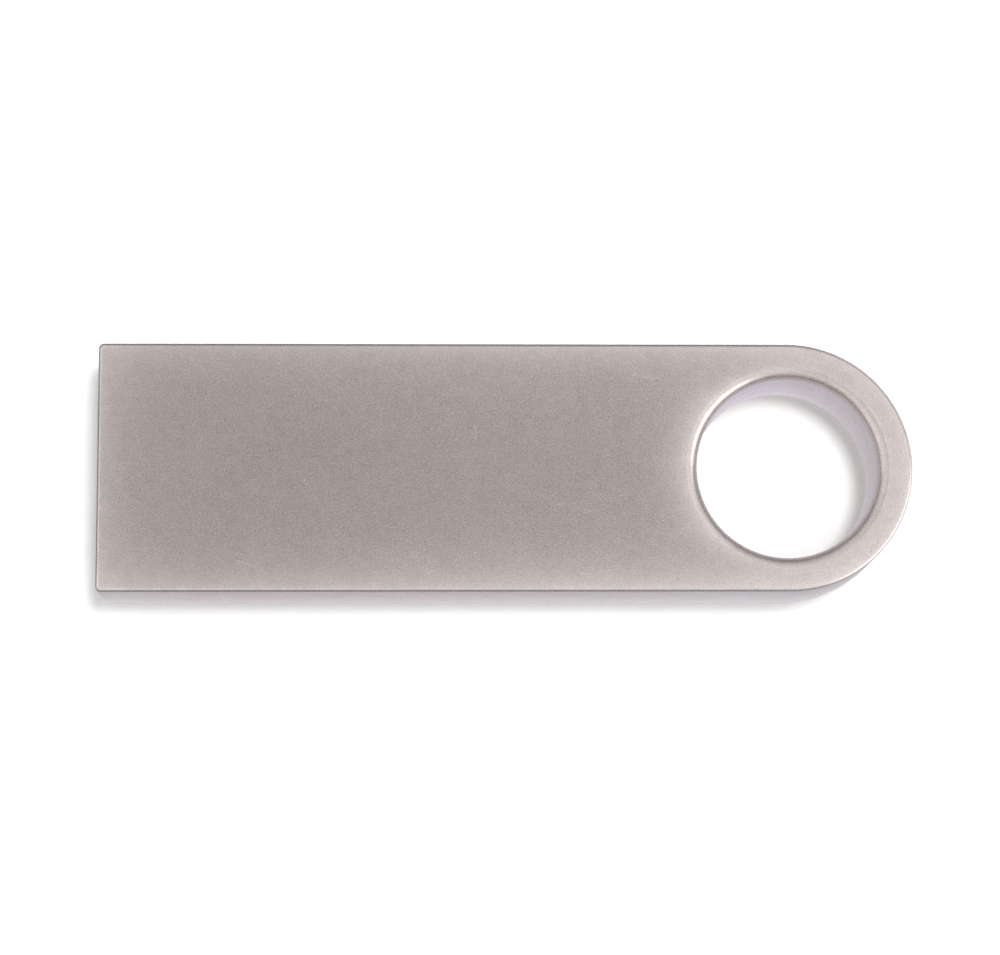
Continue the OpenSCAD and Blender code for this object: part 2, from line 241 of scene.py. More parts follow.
def plan(inset):
    """Outline of the body at an inset, counter-clockwise as (x, y, nx, ny), with the mouth's straight side last."""
    out = []
    r = CORNER - inset
    cx, cy = X_MOUTH + CORNER, HALF - CORNER
    for k in range(N_CORNER):
        a = PI + PI / 2 * k / N_CORNER
        out.append((cx + r * math.cos(a), -cy + r * math.sin(a), math.cos(a), math.sin(a)))
    for x in steps(cx, X_EYE, N_SIDE)[:-1]:
        out.append((x, -HALF + inset, 0, -1))
    rr = HALF - inset
    for k in range(N_END):
        a = -PI / 2 + PI * k / N_END
        out.append((X_EYE + rr * math.cos(a), rr * math.sin(a), math.cos(a), math.sin(a)))
    for x in steps(X_EYE, cx, N_SIDE)[:-1]:
        out.append((x, HALF - inset, 0, 1))
    for k in range(N_CORNER):
        a = PI / 2 + PI / 2 * k / N_CORNER
        out.append((cx + r * math.cos(a), cy + r * math.sin(a), math.cos(a), math.sin(a)))
    for y in steps(cy, -cy, N_MOUTH)[:-1]:
        out.append((X_MOUTH + inset, y, -1, 0))
    return out


def eye(r, z):
    return [
        (X_EYE + r * math.cos(2 * PI * k / N_EYE), r * math.sin(2 * PI * k / N_EYE), z)
        for k in range(N_EYE)
    ]


def eye_normals(out, up):
    """Normals round the eye that lean to its middle by out, which is negative, and up by up."""
    return [
        (out * math.cos(2 * PI * k / N_EYE), out * math.sin(2 * PI * k / N_EYE), up)
        for k in range(N_EYE)
    ]


body = Skin()
# fillets along the outer edges, top and bottom
F = 8
for sign in (1, -1):
    rows, nrm = [], []
    for k in range(F + 1):
        t = PI / 2 * k / F
        inset, z = EDGE * (1 - math.cos(t)), (TOP - EDGE + EDGE * math.sin(t))
        z = z if sign > 0 else TOP - z
        loop = plan(inset)
        rows.append([(x, y, z) for x, y, _, _ in loop])
        nrm.append([(nx * math.cos(t), ny * math.cos(t), sign * math.sin(t)) for _, _, nx, ny in loop])
    body.grid(rows, nrm, closed=True)
    if sign > 0:
        top_loop = rows[-1]
    else:
        base_loop = rows[-1]
# side wall, all but the mouth
levels = steps(EDGE, TOP - EDGE, 8)
loop = plan(0)
first = len(loop) - N_MOUTH
part = loop[: first + 1]
body.grid(
    [[(x, y, z) for x, y, _, _ in part] for z in levels],
    [[(nx, ny, 0) for _, _, nx, ny in part] for z in levels],
)
# rim of the mouth, and the bevel inside it
MOUTH_N = dict(n_corner=6, n_u=24, n_v=8)
CAV_W, CAV_H = 2 * (HALF - WALL_Y), TOP - 2 * WALL_Z
outer_yz = rounded(0, TOP / 2, CAV_W + 2 * LEAD, CAV_H + 2 * LEAD, CAVITY_R + LEAD, **MOUTH_N)
inner_yz = rounded(0, TOP / 2, CAV_W, CAV_H, CAVITY_R, **MOUTH_N)
bevel_a = [(X_MOUTH, y, z) for y, z, _, _ in outer_yz]
bevel_b = [(X_MOUTH + LEAD, y, z) for y, z, _, _ in inner_yz]
bevel_n = [(-1, -ny, -nz) for _, _, ny, nz in inner_yz]
body.grid([bevel_a, bevel_b], [bevel_n, bevel_n], closed=True)
ys = [p[1] for p in loop[first:]] + [-(HALF - CORNER)]      # from +Y to -Y
frame_loop = [(X_MOUTH, y, EDGE) for y in reversed(ys)][:-1]
frame_loop += [(X_MOUTH, ys[0], z) for z in levels][:-1]
frame_loop += [(X_MOUTH, y, TOP - EDGE) for y in ys][:-1]
frame_loop += [(X_MOUTH, ys[-1], z) for z in reversed(levels)][:-1]
body.sheet(frame_loop, [bevel_a], (-1, 0, 0), (1, 2), step=9)
# plain face and eye
rim_rows, rim_nrm = [], []
for k in range(13):
    t = PI / 2 * k / 12
    rim_rows.append(eye(EYE_R + EYE_TOP * (1 - math.sin(t)), TOP - EYE_TOP * (1 - math.cos(t))))
    rim_nrm.append(eye_normals(-math.sin(t), math.cos(t)))
for z in steps(TOP - EYE_TOP, EYE_BACK, 6)[1:]:
    rim_rows.append(eye(EYE_R, z))
    rim_nrm.append(eye_normals(-1, 0))
for k in range(1, 7):
    t = PI / 2 * k / 6
    rim_rows.append(eye(EYE_R + EYE_BACK * (1 - math.cos(t)), EYE_BACK * (1 - math.sin(t))))
    rim_nrm.append(eye_normals(-math.cos(t), -math.sin(t)))
body.grid(rim_rows, rim_nrm, closed=True)
body.sheet(top_loop, [rim_rows[0]], (0, 0, 1), (0, 1), step=1.2)
# latch windows
window_outer, window_inner = [], []
for s in (-1, 1):
    W = dict(n_corner=8, n_u=4, n_v=4)
    wide = rounded(WIN_X, s * WIN_Y, WIN_L + 2 * WIN_BEVEL, WIN_W + 2 * WIN_BEVEL, WIN_R + WIN_BEVEL, **W)
    true = rounded(WIN_X, s * WIN_Y, WIN_L, WIN_W, WIN_R, **W)
    a = [(x, y, 0.0) for x, y, _, _ in wide]
    b = [(x, y, WIN_BEVEL) for x, y, _, _ in true]
    c = [(x, y, WALL_Z) for x, y, _, _ in true]
    slope = [(-nx, -ny, -1) for _, _, nx, ny in true]
    wall = [(-nx, -ny, 0) for _, _, nx, ny in true]
    body.grid([a, b], [slope, slope], closed=True)
    body.grid([b, c], [wall, wall], closed=True)
    window_outer.append(a)
    window_inner.append(c)
body.sheet(base_loop, [rim_rows[-1]] + window_outer, (0, 0, -1), (0, 1), step=1.2)
# cavity: the floor is a sheet with the windows in it, and the rest is a grid
X_BACK = X_MOUTH + CAVITY_L
stations = [X_MOUTH + LEAD] + steps(X_MOUTH + 1, X_BACK, 20)
floor_n = MOUTH_N["n_u"]
wrap = inner_yz[floor_n:] + [inner_yz[0]]
body.grid(
    [[(x, y, z) for y, z, _, _ in wrap] for x in stations],
    [[(0, -ny, -nz) for _, _, ny, nz in wrap] for x in stations],
)
floor_y = [p[0] for p in inner_yz[: floor_n + 1]]           # from -Y to +Y
floor_loop = [(x, floor_y[0], WALL_Z) for x in stations][:-1]
floor_loop += [(X_BACK, y, WALL_Z) for y in floor_y][:-1]
floor_loop += [(x, floor_y[-1], WALL_Z) for x in reversed(stations)][:-1]
floor_loop += [(stations[0], y, WALL_Z) for y in reversed(floor_y)][:-1]
body.sheet(floor_loop, window_inner, (0, 0, 1), (0, 1), step=1.2)
body.sheet([(X_BACK, y, z) for y, z, _, _ in inner_yz], [], (-1, 0, 0), (1, 2), step=1.2)

housing = body.build("housing_shell")
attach(housing, "root")
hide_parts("housing")


# ---------------------------------------------------------------- materials

class Nodes:
    """Short names for building one material's nodes. Lengths are in mm."""

    def __init__(self, name):
        self.mat = bpy.data.materials.new(name)
        self.mat.use_nodes = True
        self.tree = self.mat.node_tree
        self.tree.nodes.clear()
        self.out = self.tree.nodes.new("ShaderNodeOutputMaterial")
        self.shader = self.tree.nodes.new("ShaderNodeBsdfPrincipled")
        self.tree.links.new(self.shader.outputs["BSDF"], self.out.inputs["Surface"])
        coord = self.tree.nodes.new("ShaderNodeTexCoord")
        scale = self.tree.nodes.new("ShaderNodeVectorMath")
        scale.operation = "SCALE"
        scale.inputs["Scale"].default_value = 1 / MM
        self.tree.links.new(coord.outputs["Object"], scale.inputs[0])
        self.mm = scale.outputs["Vector"]
        self.xyz = None

    def set(self, **values):
        for key, value in values.items():
            self.shader.inputs[key.replace("_", " ")].default_value = value

    def link(self, a, b):
        self.tree.links.new(a, b)

    def math(self, op, a, b=None, c=None, clamp=False):
        n = self.tree.nodes.new("ShaderNodeMath")
        n.operation = op
        n.use_clamp = clamp
        for k, v in enumerate((a, b, c)):
            if v is None:
                continue
            if isinstance(v, (int, float)):
                n.inputs[k].default_value = v
            else:
                self.link(v, n.inputs[k])
        return n.outputs[0]

    def axis(self, k):
        if self.xyz is None:
            self.xyz = self.tree.nodes.new("ShaderNodeSeparateXYZ")
            self.link(self.mm, self.xyz.inputs[0])
        return self.xyz.outputs[k]

    def stretch(self, sx, sy, sz, turn=0.0):
        n = self.tree.nodes.new("ShaderNodeMapping")
        n.inputs["Scale"].default_value = (sx, sy, sz)
        n.inputs["Rotation"].default_value = (0, 0, turn)
        self.link(self.mm, n.inputs["Vector"])
        return n.outputs["Vector"]

    def noise(self, size, detail=2.0, rough=0.5, at=None, distort=0.0, shift=None):
        """Noise whose features are about size mm across."""
        n = self.tree.nodes.new("ShaderNodeTexNoise")
        n.inputs["Scale"].default_value = 1 / size
        n.inputs["Detail"].default_value = detail
        n.inputs["Roughness"].default_value = rough
        n.inputs["Distortion"].default_value = distort
        at = at or self.mm
        if shift:
            add = self.tree.nodes.new("ShaderNodeVectorMath")
            add.operation = "ADD"
            add.inputs[1].default_value = shift
            self.link(at, add.inputs[0])
            at = add.outputs[0]
        self.link(at, n.inputs["Vector"])
        return n.outputs["Fac"]

    def cells(self, size, feature="F1", at=None, spread=1.0):
        n = self.tree.nodes.new("ShaderNodeTexVoronoi")
        n.feature = feature
        n.inputs["Scale"].default_value = 1 / size
        n.inputs["Randomness"].default_value = spread
        self.link(at or self.mm, n.inputs["Vector"])
        return n

    def ramp(self, value, *stops):
        n = self.tree.nodes.new("ShaderNodeValToRGB")
        el = n.color_ramp.elements
        while len(el) < len(stops):
            el.new(0.5)
        for e, (pos, col) in zip(el, stops):
            e.position = pos
            e.color = (*col, 1) if len(col) == 3 else col
        self.link(value, n.inputs[0])
        return n.outputs["Color"]

    def span(self, value, a, b, c, d, clamp=True):
        n = self.tree.nodes.new("ShaderNodeMapRange")
        n.clamp = clamp
        n.inputs["From Min"].default_value, n.inputs["From Max"].default_value = a, b
        n.inputs["To Min"].default_value, n.inputs["To Max"].default_value = c, d
        self.link(value, n.inputs["Value"])
        return n.outputs["Result"]

    def mix(self, fac, a, b, mode="MIX"):
        n = self.tree.nodes.new("ShaderNodeMix")
        n.data_type = "RGBA"
        n.blend_type = mode
        for k, v in ((0, fac), (6, a), (7, b)):
            if isinstance(v, (int, float)):
                n.inputs[k].default_value = v
            elif isinstance(v, tuple):
                n.inputs[k].default_value = (*v, 1)
            else:
                self.link(v, n.inputs[k])
        return n.outputs[2]

    def bump(self, height, depth, strength=1.0, after=None):
        """depth is in mm."""
        n = self.tree.nodes.new("ShaderNodeBump")
        n.inputs["Strength"].default_value = strength
        n.inputs["Distance"].default_value = depth * MM
        self.link(height, n.inputs["Height"])
        if after is not None:
            self.link(after, n.inputs["Normal"])
        return n.outputs["Normal"]

    def colour(self, c):
        self.link(c, self.shader.inputs["Base Color"])

    def rough(self, r):
        self.link(r, self.shader.inputs["Roughness"])

    def normal(self, n):
        self.link(n, self.shader.inputs["Normal"])


def plated_zinc():
    """Bead-blasted nickel plate over cast zinc. It is lighter along its edges, at the mouth and round the eye, partly
    from burnish and partly from painted sheen.
    """
    m = Nodes("plated_zinc_finish")
    m.set(Metallic=1.0)
    m.shader.inputs["Specular Tint"].default_value = (0.90, 0.89, 0.95, 1.0)
    x, y = m.axis(0), m.axis(1)
    # distance inside the outline, and outside the eye's wall
    dx = m.math("SUBTRACT", x, X_EYE)
    radial = m.math("SQRT", m.math("ADD", m.math("MULTIPLY", dx, dx), m.math("MULTIPLY", y, y)))
    ahead = m.math("GREATER_THAN", dx, 0.0)
    off = m.math("ADD", m.math("MULTIPLY", ahead, radial), m.math("MULTIPLY", m.math("SUBTRACT", 1.0, ahead), m.math("ABSOLUTE", y)))
    d_side = m.math("MAXIMUM", m.math("SUBTRACT", HALF, off), 0.0)
    d_mouth = m.math("MAXIMUM", m.math("SUBTRACT", x, X_MOUTH), 0.0)
    d_eye = m.math("ABSOLUTE", m.math("SUBTRACT", radial, EYE_R + 0.3))
    # painted light: the sheen along the outline is made stronger to the right (+X) and to the front (-Y), where the
    # light falls brighter
    side_sheen_weight = m.math("MULTIPLY_ADD", x, 0.006, m.math("MULTIPLY_ADD", y, -0.020, 0.58))
    eye_sheen_weight = m.span(d_side, 1.2, 2.7, 0.42, 0.90)
    # painted highlight: a thin bright line along the eye's rim on the far right
    rim_highlight = m.math("MULTIPLY_ADD", dx, 0.927, m.math("MULTIPLY", y, 0.375))
    rim_highlight = m.span(m.math("DIVIDE", rim_highlight, m.math("MAXIMUM", radial, 0.1)), 0.72, 0.90, 0.0, 0.40)
    d_rim_highlight = m.math("ABSOLUTE", m.math("SUBTRACT", radial, EYE_R + 0.44))
    # painted sheen, partly burnish and partly painted light: the metal is lighter near the outline, the mouth and the
    # eye's rim, each fading over its own reach
    painted_sheen = None
    for d, reach, weight in ((d_side, 1.25, side_sheen_weight), (d_side, 0.30, 0.20), (d_mouth, 1.8, 0.44), (d_mouth, 0.3, 0.25), (d_eye, 0.80, eye_sheen_weight), (d_rim_highlight, 0.07, rim_highlight)):
        g = m.math("MULTIPLY", m.math("EXPONENT", m.math("MULTIPLY", d, -1 / reach)), weight)
        painted_sheen = g if painted_sheen is None else m.math("ADD", painted_sheen, g)
    cloud = m.noise(2.6, 3.0, 0.55)
    sheen_and_wear = m.math("ADD", painted_sheen, m.span(cloud, 0.3, 0.7, -0.03, 0.03), clamp=True)
    base = m.ramp(sheen_and_wear, (0.0, (0.497, 0.435, 0.414)), (1.0, (0.955, 0.865, 0.835)))
    mottle = m.noise(0.42, 2.0, 0.5, shift=(4.0, 9.0, 2.0))
    base = m.mix(1.0, base, m.ramp(mottle, (0.25, (0.955, 0.965, 0.955)), (0.75, (1.045, 1.035, 1.045))), "MULTIPLY")
    # grain of the blasting, and sparse bright and dark specks
    grain = m.noise(0.055, 1.5, 0.6)
    # the faces are smoother along their burnished edges, where the painted sheen is strongest
    smooth = m.math("MULTIPLY", m.span(sheen_and_wear, 0.0, 0.50, 0.0, 0.42), m.span(m.axis(2), 4.35, 4.48, 0.0, 1.0))
    base = m.mix(m.math("SUBTRACT", 1.0, smooth), base, m.ramp(grain, (0.20, (0.61, 0.61, 0.61)), (0.80, (1.39, 1.39, 1.39))), "MULTIPLY")
    speck = m.cells(0.30)
    size = m.math("LESS_THAN", speck.outputs["Distance"], 0.10)
    pick = m.tree.nodes.new("ShaderNodeSeparateColor")
    m.link(speck.outputs["Color"], pick.inputs[0])
    bright = m.math("MULTIPLY", size, m.math("GREATER_THAN", pick.outputs[0], 0.86))
    dark = m.math("MULTIPLY", size, m.math("LESS_THAN", pick.outputs[0], 0.12))
    base = m.mix(m.math("MULTIPLY", bright, 0.60), base, (0.92, 0.86, 0.83))
    base = m.mix(m.math("MULTIPLY", dark, 0.55), base, (0.30, 0.25, 0.24))
    # hairline scratches, thin and few
    hair = None
    for turn_by, offset in ((0.35, (3.1, 7.7, 0.0)), (1.75, (11.3, 2.9, 0.0)), (2.6, (5.9, 17.1, 0.0))):
        along = m.stretch(0.16, 2.6, 1.0, turn_by)
        line = m.noise(1.0, 1.0, 0.3, at=along, distort=0.4, shift=offset)
        thin = m.math("LESS_THAN", m.math("ABSOLUTE", m.math("SUBTRACT", line, 0.5)), 0.0022)
        gate = m.math("GREATER_THAN", m.noise(3.2, 0.0, 0.5, shift=offset), 0.67)
        mark = m.math("MULTIPLY", thin, gate)
        hair = mark if hair is None else m.math("MAXIMUM", hair, mark)
    # two longer, fainter marks on the plain face
    for ax, ay, bx, by, r in ((-1.55, 2.10, -1.48, 1.20, 0.034), (-12.95, -4.50, -12.0, -4.88, 0.034), (3.6, -2.3, 4.7, -2.05, 0.018)):
        ux, uy = bx - ax, by - ay
        length = math.hypot(ux, uy)
        ux, uy = ux / length, uy / length
        px, py = m.math("SUBTRACT", x, ax), m.math("SUBTRACT", y, ay)
        along = m.math("ADD", m.math("MULTIPLY", px, ux), m.math("MULTIPLY", py, uy))
        across = m.math("ADD", m.math("MULTIPLY", px, -uy), m.math("MULTIPLY", py, ux))
        bow = m.math("MULTIPLY", m.math("SINE", m.math("MULTIPLY", along, PI / length)), 0.07)
        off_line = m.math("ABSOLUTE", m.math("SUBTRACT", across, bow))
        mark = m.math("MULTIPLY", m.span(off_line, r * 0.4, r, 1.0, 0.0), m.span(m.math("ABSOLUTE", m.math("SUBTRACT", along, length / 2)), length * 0.3, length * 0.5, 1.0, 0.0))
        mark = m.math("MULTIPLY", mark, m.math("GREATER_THAN", m.axis(2), TOP - 0.1))
        hair = m.math("MAXIMUM", hair, mark)
    base = m.mix(m.math("MULTIPLY", hair, 0.34), base, (0.90, 0.86, 0.84))
    m.colour(base)
    rough = m.math("ADD", m.span(m.noise(0.9, 3.0, 0.6), 0.3, 0.7, 0.31, 0.37), m.math("MULTIPLY", sheen_and_wear, -0.07))
    m.rough(rough)
    n = m.bump(m.noise(3.5, 2.0, 0.5), 0.010, 0.6)
    n = m.bump(grain, 0.0016, 0.7, after=n)
    n = m.bump(hair, 0.002, -0.5, after=n)
    m.normal(n)
    return m.mat


def black_plastic():
    m = Nodes("black_plastic_finish")
    spark = m.noise(0.07, 3.0, 0.6)
    flow = m.noise(1.8, 2.0, 0.5, at=m.stretch(0.35, 1, 1))
    m.colour(m.mix(m.span(flow, 0.3, 0.7, 0.0, 1.0), (0.022, 0.022, 0.024), (0.042, 0.041, 0.042)))
    m.rough(m.span(spark, 0.3, 0.7, 0.38, 0.60))
    m.normal(m.bump(spark, 0.004, 0.8))
    return m.mat


def adhesive_film():
    m = Nodes("adhesive_film_finish")
    weave = m.noise(0.25, 4.0, 0.6)
    m.colour(m.mix(m.span(weave, 0.3, 0.7, 0.0, 1.0), (0.72, 0.66, 0.48), (0.88, 0.84, 0.70)))
    m.rough(m.span(weave, 0.3, 0.7, 0.50, 0.75))
    m.normal(m.bump(weave, 0.006, 0.8))
    return m.mat


def clear_glue():
    m = Nodes("clear_glue_finish")
    m.set(Transmission_Weight=0.35, IOR=1.5)
    wave = m.noise(0.9, 2.0, 0.5)
    bubble = m.cells(0.45)
    ring = m.span(bubble.outputs["Distance"], 0.10, 0.16, 1.0, 0.0)
    m.colour(m.mix(m.span(wave, 0.3, 0.7, 0.0, 1.0), (0.62, 0.50, 0.30), (0.86, 0.78, 0.58)))
    m.rough(m.span(wave, 0.3, 0.7, 0.10, 0.24))
    m.normal(m.bump(ring, 0.01, 0.6, after=m.bump(wave, 0.03, 0.8)))
    return m.mat


def glass_epoxy():
    m = Nodes("glass_epoxy_finish")
    warp = m.math("SINE", m.math("MULTIPLY", m.axis(0), 2 * PI / 0.42))
    weft = m.math("SINE", m.math("MULTIPLY", m.axis(1), 2 * PI / 0.50))
    cloth = m.math("MULTIPLY", warp, weft)
    blur = m.noise(0.35, 3.0, 0.6)
    f = m.math("ADD", m.span(cloth, -1, 1, 0.1, 0.7), m.span(blur, 0.3, 0.7, -0.15, 0.25), clamp=True)
    m.colour(m.mix(f, (0.30, 0.33, 0.17), (0.56, 0.56, 0.38)))
    m.rough(m.span(blur, 0.3, 0.7, 0.34, 0.55))
    m.normal(m.bump(cloth, 0.006, 0.7))
    return m.mat


def solder_mask():
    m = Nodes("solder_mask_finish")
    m.set(Coat_Weight=0.35, Coat_Roughness=0.12)
    peel = m.noise(0.22, 2.0, 0.5)
    dust = m.noise(0.05, 2.0, 0.7)
    m.colour(m.mix(m.span(peel, 0.3, 0.7, 0.0, 1.0), (0.010, 0.016, 0.014), (0.024, 0.036, 0.031)))
    m.rough(m.span(dust, 0.3, 0.7, 0.24, 0.38))
    m.normal(m.bump(peel, 0.005, 0.8))
    return m.mat


def copper():
    m = Nodes("copper_finish")
    m.set(Metallic=1.0)
    tone = m.noise(0.4, 3.0, 0.6)
    m.colour(m.mix(m.span(tone, 0.35, 0.75, 0.0, 1.0), (0.86, 0.46, 0.29), (0.62, 0.30, 0.19)))
    m.rough(m.span(tone, 0.3, 0.7, 0.22, 0.42))
    m.normal(m.bump(m.noise(0.05, 2.0, 0.6), 0.002, 0.7))
    return m.mat


def gold_plating():
    """Gold over nickel, with fine streaks along the way that a plug slides."""
    m = Nodes("gold_plating_finish")
    m.set(Metallic=0.85)
    streak = m.noise(0.05, 2.0, 0.6, at=m.stretch(0.03, 1, 1))
    tone = m.noise(0.6, 3.0, 0.6)
    c = m.mix(m.span(tone, 0.3, 0.7, 0.0, 1.0), (1.00, 0.80, 0.42), (0.92, 0.68, 0.32))
    c = m.mix(m.span(streak, 0.60, 0.72, 0.0, 0.55), c, (0.90, 0.84, 0.70))
    m.colour(c)
    m.rough(m.span(streak, 0.3, 0.7, 0.34, 0.54))
    m.normal(m.bump(streak, 0.0015, 0.8, after=m.bump(tone, 0.006, 0.5)))
    return m.mat


def mould_compound():
    m = Nodes("mould_compound_finish")
    fill = m.cells(0.06)
    cloud = m.noise(1.4, 3.0, 0.5)
    c = m.mix(m.span(cloud, 0.3, 0.7, 0.0, 1.0), (0.026, 0.026, 0.029), (0.045, 0.045, 0.049))
    c = m.mix(m.span(fill.outputs["Distance"], 0.05, 0.30, 0.30, 0.0), c, (0.16, 0.16, 0.17))
    m.colour(c)
    m.rough(m.span(fill.outputs["Distance"], 0.0, 0.7, 0.46, 0.68))
    m.normal(m.bump(fill.outputs["Distance"], 0.003, 0.8))
    return m.mat


def silicon():
    """Bare die with the fine blocks of its circuit showing as tint and gloss."""
    m = Nodes("silicon_finish")
    m.set(Metallic=0.65)
    big = m.cells(0.9, at=m.stretch(1, 0.55, 0.2), spread=0.35)
    big.distance = "CHEBYCHEV"
    rows = m.math("SINE", m.math("MULTIPLY", m.axis(1), 2 * PI / 0.09))
    cols = m.math("SINE", m.math("MULTIPLY", m.axis(0), 2 * PI / 0.13))
    grid = m.math("MULTIPLY", rows, cols)
    c = m.mix(0.35, (0.30, 0.31, 0.37), big.outputs["Color"], "SOFT_LIGHT")
    c = m.mix(m.span(grid, -1, 1, 0.0, 0.35), c, (0.42, 0.36, 0.48))
    m.colour(c)
    m.rough(m.span(grid, -1, 1, 0.12, 0.26))
    m.normal(m.bump(grid, 0.0008, 0.6))
    return m.mat


def die_film():
    m = Nodes("die_film_finish")
    mottle = m.noise(0.16, 4.0, 0.6)
    m.colour(m.mix(m.span(mottle, 0.3, 0.7, 0.0, 1.0), (0.54, 0.48, 0.33), (0.70, 0.66, 0.52)))
    m.rough(m.span(mottle, 0.3, 0.7, 0.48, 0.72))
    m.normal(m.bump(mottle, 0.003, 0.7))
    return m.mat


def bond_gold():
    m = Nodes("bond_gold_finish")
    m.set(Metallic=1.0)
    draw = m.noise(0.02, 2.0, 0.6, at=m.stretch(0.2, 1, 1))
    m.colour(m.mix(m.span(draw, 0.3, 0.7, 0.0, 1.0), (0.98, 0.78, 0.38), (0.88, 0.66, 0.28)))
    m.rough(m.span(draw, 0.3, 0.7, 0.14, 0.28))
    m.normal(m.bump(draw, 0.0006, 0.6))
    return m.mat


def ceramic(name, light, dark, size, shine):
    m = Nodes(name)
    pore = m.noise(size, 4.0, 0.65)
    cloud = m.noise(size * 7, 2.0, 0.5)
    c = m.mix(m.span(cloud, 0.3, 0.7, 0.0, 1.0), dark, light)
    c = m.mix(m.span(pore, 0.62, 0.75, 0.0, 0.5), c, tuple(v * 0.55 for v in dark))
    m.colour(c)
    m.rough(m.span(pore, 0.3, 0.7, shine, shine + 0.18))
    m.normal(m.bump(pore, 0.002, 0.8))
    return m.mat


def tin_like(name, light, dark, low, high, size):
    m = Nodes(name)
    m.set(Metallic=1.0)
    grains = m.cells(size)
    haze = m.noise(size * 5, 3.0, 0.6)
    c = m.mix(m.span(haze, 0.3, 0.7, 0.0, 1.0), light, dark)
    c = m.mix(m.span(grains.outputs["Distance"], 0.0, 0.8, 0.0, 0.25), c, tuple(v * 0.8 for v in dark))
    m.colour(c)
    m.rough(m.span(haze, 0.3, 0.7, low, high))
    m.normal(m.bump(grains.outputs["Distance"], 0.002, 0.6))
    return m.mat


FINISH = {
    "plated_zinc": plated_zinc(),
    "black_plastic": black_plastic(),
    "adhesive_film": adhesive_film(),
    "clear_glue": clear_glue(),
    "glass_epoxy": glass_epoxy(),
    "solder_mask": solder_mask(),
    "copper": copper(),
    "gold_plating": gold_plating(),
    "mould_compound": mould_compound(),
    "silicon": silicon(),
    "die_film": die_film(),
    "bond_gold": bond_gold(),
    "crystal_ceramic": ceramic("crystal_ceramic_finish", (0.80, 0.77, 0.70), (0.70, 0.66, 0.58), 0.05, 0.42),
    "lid_metal": tin_like("lid_metal_finish", (0.80, 0.77, 0.72), (0.62, 0.60, 0.56), 0.20, 0.34, 0.05),
    "capacitor_ceramic": ceramic("capacitor_ceramic_finish", (0.64, 0.50, 0.37), (0.50, 0.38, 0.27), 0.035, 0.34),
    "tin": tin_like("tin_finish", (0.84, 0.84, 0.85), (0.62, 0.62, 0.64), 0.24, 0.44, 0.04),
    "resistor_glaze": ceramic("resistor_glaze_finish", (0.05, 0.05, 0.06), (0.03, 0.03, 0.036), 0.03, 0.14),
}

slot_of = {s["node"]: s["material_slot"] for s in frame["record"]["subparts"]}
housing.data.materials.append(FINISH["plated_zinc"])
for name in slot_of:
    node = bpy.data.objects.get(name)
    if node is None:
        continue
    for s in node.material_slots:
        s.link = "OBJECT"
        s.material = FINISH[slot_of[name]]

# Eased edges on the carried-over nodes that show in the mouth or stand on the board, and wires made near round.
EASED = {
    "carrier_tray": 0.04, "filler_block": 0.05, "contact_vbus": 0.012, "contact_data_minus": 0.012,
    "contact_data_plus": 0.012, "contact_ground": 0.012, "crystal_base": 0.02, "crystal_lid": 0.015,
    "capacitor_bodies": 0.02, "capacitor_terminals": 0.02, "resistor_bodies": 0.01,
    "resistor_terminals": 0.01, "controller_die": 0.004, "flash_die_inner": 0.004, "flash_die_outer": 0.004,
    "controller_bond_wires": 0.009, "flash_bond_wires": 0.009, "rear_glue": 0.03,
}
for name, width in EASED.items():
    node = bpy.data.objects.get(name)
    if node is None:
        continue
    weld = node.modifiers.new("weld", "WELD")
    weld.merge_threshold = 1e-7
    ease = node.modifiers.new("ease", "BEVEL")
    ease.width = width * MM
    ease.segments = 2
    ease.limit_method = "ANGLE"
    ease.angle_limit = math.radians(40)
    ease.harden_normals = True


# ---------------------------------------------------------------- floor

def disc(name, z, rings=(0.03, 0.06, 0.12, 0.25, 0.5, 0.8), seg=96, rise=()):
    """Round sheet made of rings, with further rings of (radius, height) that turn up as a backdrop."""
    pts, faces = [(0, 0, 0)], []
    for r, h in [(r, 0.0) for r in rings] + list(rise):
        pts += [(r * math.cos(2 * PI * k / seg), r * math.sin(2 * PI * k / seg), h) for k in range(seg)]
    faces += [(0, 1 + k, 1 + (k + 1) % seg) for k in range(seg)]
    for i in range(len(rings) + len(rise) - 1):
        a, b = 1 + i * seg, 1 + (i + 1) * seg
        faces += [(a + k, b + k, b + (k + 1) % seg, a + (k + 1) % seg) for k in range(seg)]
    mesh = bpy.data.meshes.new(name)
    mesh.from_pydata(pts, [], faces)
    mesh.polygons.foreach_set("use_smooth", [True] * len(mesh.polygons))
    obj = bpy.data.objects.new(name, mesh)
    obj.location.z = z
    bpy.context.scene.collection.objects.link(obj)
    return obj


floor = disc("floor", -0.00002)
floor.visible_glossy = False
m = Nodes("floor_paper")
fibre = m.noise(0.5, 3.0, 0.6)
m.colour(m.mix(m.span(fibre, 0.3, 0.7, 0.0, 1.0), (0.90, 0.90, 0.90), (0.93, 0.93, 0.93)))
m.set(Roughness=0.9)
m.normal(m.bump(fibre, 0.01, 0.2))
floor.data.materials.append(m.mat)

